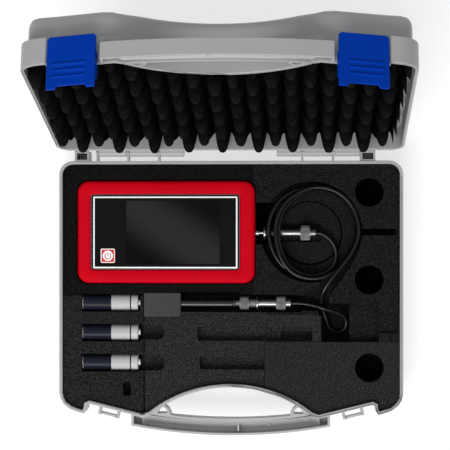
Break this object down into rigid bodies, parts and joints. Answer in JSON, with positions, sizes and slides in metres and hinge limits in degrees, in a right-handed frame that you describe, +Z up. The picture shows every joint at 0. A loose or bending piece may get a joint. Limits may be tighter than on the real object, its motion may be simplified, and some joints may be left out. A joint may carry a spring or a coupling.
{
  "type": "field meter kit in carrying case",
  "caption": "Hand-held field meter in a rubber boot with a cabled probe and spare cells, laid in cut foam in a hinged plastic carrying case with two snap latches.",
  "frame": {"origin": "on the floor under the middle of the base's rectangular case, centred left to right", "axes": "+X to the right, +Y back towards the hinge, +Z up; the handle is at -Y"},
  "size_m": [0.3, 0.3439, 0.2774],
  "materials": {
    "case_shell": "fine moulded texture, light grey",
    "hinge_pin": "plain drawn rod",
    "base_foam": "cut dark grey closed-cell foam with a fine speckle",
    "lid_foam": "black open-cell convoluted foam",
    "latch": "blue moulded plastic",
    "holster": "satin red rubber",
    "meter_case": "fine matte black",
    "overlay_panel": "gloss black film with a printed white line",
    "display_glass": "smoked gloss window",
    "display_module": "dark display face",
    "board": "green solder mask",
    "contact_metal": "nickel plated spring strip",
    "screw_steel": "zinc plated",
    "power_key": "red key with a white printed symbol",
    "connector_metal": "bright nickel plating",
    "knurled_metal": "milled nickel plating",
    "connector_black": "matte black",
    "cable_jacket": "satin black jacket",
    "probe_tube": "black tube",
    "probe_head": "matte dark grey box",
    "cell_metal": "bright tin plate",
    "cell_wrap": "printed film, dark blue and white"
  },
  "bodies": {
    "base": {"base_shell": "case_shell", "hinge_pin_left": "hinge_pin", "hinge_pin_right": "hinge_pin", "foam_pad": "base_foam", "foam_meter": "base_foam", "foam_front": "base_foam", "foam_corner": "base_foam", "foam_coil": "base_foam", "foam_recess": "base_foam", "foam_rear": "base_foam", "foam_cells": "base_foam"},
    "lid": {"lid_shell": "case_shell", "lid_foam": "lid_foam"},
    "latch_left": {"latch_left": "latch"},
    "latch_right": {"latch_right": "latch"},
    "instrument": {"holster": "holster", "front_case": "meter_case", "rear_case": "meter_case", "overlay_panel": "overlay_panel", "display_window": "display_glass", "display_module": "display_module", "circuit_board": "board", "key_switch": "meter_case", "contact_springs": "contact_metal", "battery_door": "meter_case", "case_screws": "screw_steel", "input_jack": "connector_metal", "plug_insulator": "connector_black", "plug_body": "connector_metal", "plug_nut": "knurled_metal", "plug_sleeve": "connector_metal", "cable": "cable_jacket", "probe_sleeve": "connector_metal", "probe_nut": "knurled_metal", "probe_plug_body": "connector_metal", "probe_jack": "connector_metal", "probe_collar": "connector_black", "probe_tube": "probe_tube", "probe_head": "probe_head", "probe_head_cover": "probe_head", "sensor_board": "board", "sensor_element": "connector_black"},
    "power_key": {"power_key": "power_key"},
    "cell_1": {"cell_can_1": "cell_metal", "cell_wrap_1": "cell_wrap"},
    "cell_2": {"cell_can_2": "cell_metal", "cell_wrap_2": "cell_wrap"},
    "cell_3": {"cell_can_3": "cell_metal", "cell_wrap_3": "cell_wrap"}
  },
  "joints": [
    {"name": "lid_hinge", "type": "hinge", "parent": "base", "child": "lid", "pos_m": [0, 0.1178, 0.039], "axis": [-1, 0, 0], "range_deg": [-104.5, 0]},
    {"name": "latch_left_hinge", "type": "hinge", "parent": "lid", "child": "latch_left", "pos_m": [-0.1072, 0.18392, 0.25871], "axis": [-0.9703, -0.0606, -0.2342], "range_deg": [0, 38]},
    {"name": "latch_right_hinge", "type": "hinge", "parent": "lid", "child": "latch_right", "pos_m": [0.1072, 0.18392, 0.25871], "axis": [-0.9703, 0.0606, 0.2342], "range_deg": [0, 38]},
    {"name": "instrument_lift", "type": "slide", "parent": "base", "child": "instrument", "axis": [0, 0, 1], "range_m": [0, 0.08]},
    {"name": "power_key_press", "type": "slide", "parent": "instrument", "child": "power_key", "axis": [0, 0, -1], "range_m": [0, 0.0004], "stiffness_N_per_m": 300},
    {"name": "cell_1_lift", "type": "slide", "parent": "base", "child": "cell_1", "axis": [0, 0, 1], "range_m": [0, 0.06]},
    {"name": "cell_2_lift", "type": "slide", "parent": "base", "child": "cell_2", "axis": [0, 0, 1], "range_m": [0, 0.06]},
    {"name": "cell_3_lift", "type": "slide", "parent": "base", "child": "cell_3", "axis": [0, 0, 1], "range_m": [0, 0.06]}
  ]
}
